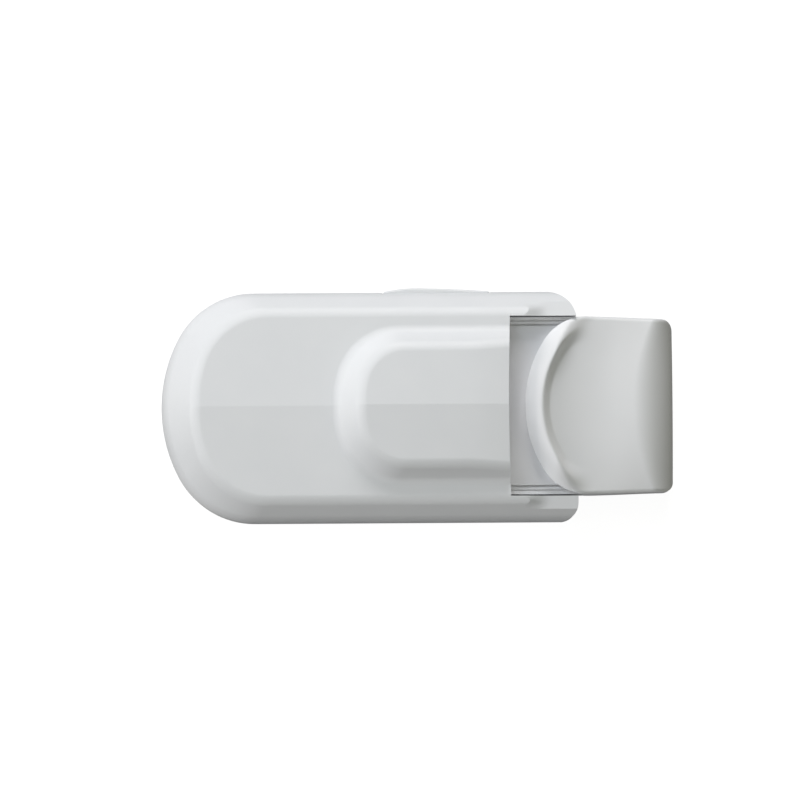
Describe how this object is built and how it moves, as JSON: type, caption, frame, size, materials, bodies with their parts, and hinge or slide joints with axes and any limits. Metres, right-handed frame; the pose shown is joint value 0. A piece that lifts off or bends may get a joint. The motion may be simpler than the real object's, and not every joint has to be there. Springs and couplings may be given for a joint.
{
  "type": "stair gate latch",
  "caption": "Surface-mounted gate latch with a spring-loaded sliding thumb paddle and nose, a raised tunnel cover, a low side lock button and threaded inserts in its back.",
  "frame": {"origin": "centre of the four fixing inserts, on the mounting face at the back", "axes": "+X along the slide towards the latching nose, +Y towards the edge with the side button, +Z out of the front face"},
  "size_m": [0.106, 0.0486, 0.023],
  "materials": {
    "housing_plastic": "satin white moulded ABS",
    "paddle_plastic": "soft-gloss white moulded ABS",
    "button_plastic": "satin white moulded ABS",
    "base_plastic": "plain white moulded ABS",
    "carriage_plastic": "fine matt white moulded nylon",
    "tongue_nylon": "glass-filled nylon, natural",
    "acetal": "slippery natural acetal",
    "pad_foam": "closed-cell foam rubber sheet",
    "rubber": "matt moulded rubber",
    "brass": "knurled turned brass",
    "plated_steel": "bright zinc plate",
    "rod_steel": "ground bright steel",
    "spring_steel": "drawn spring wire, oiled"
  },
  "bodies": {
    "housing": {"front_cover": "housing_plastic", "base_plate": "base_plastic", "backing_pad": "pad_foam", "threaded_inserts": "brass", "cover_screws": "plated_steel", "button_springs": "spring_steel", "guide_rod_upper": "rod_steel", "guide_rod_lower": "rod_steel", "return_spring_upper": "spring_steel", "return_spring_lower": "spring_steel", "wear_strip_upper": "acetal", "wear_strip_lower": "acetal", "front_bumper_upper": "rubber", "front_bumper_lower": "rubber", "rear_bumper_upper": "rubber", "rear_bumper_lower": "rubber"},
    "slide": {"slide_carriage": "carriage_plastic", "thumb_paddle": "paddle_plastic", "latch_tongue": "tongue_nylon", "paddle_screws": "plated_steel", "tongue_screws": "plated_steel", "spring_washers": "plated_steel"},
    "side_button": {"lock_button": "button_plastic"}
  },
  "joints": [
    {"name": "paddle_slide", "type": "slide", "parent": "housing", "child": "slide", "axis": [1, 0, 0], "range_m": [-0.007, 0], "stiffness_N_per_m": 700, "springref_m": 0.007, "deforming": ["return_spring_upper", "return_spring_lower"]},
    {"name": "button_press", "type": "slide", "parent": "housing", "child": "side_button", "axis": [0, -1, 0], "range_m": [0, 0.0012], "stiffness_N_per_m": 1500, "springref_m": -0.0008, "deforming": ["button_springs"]}
  ]
}
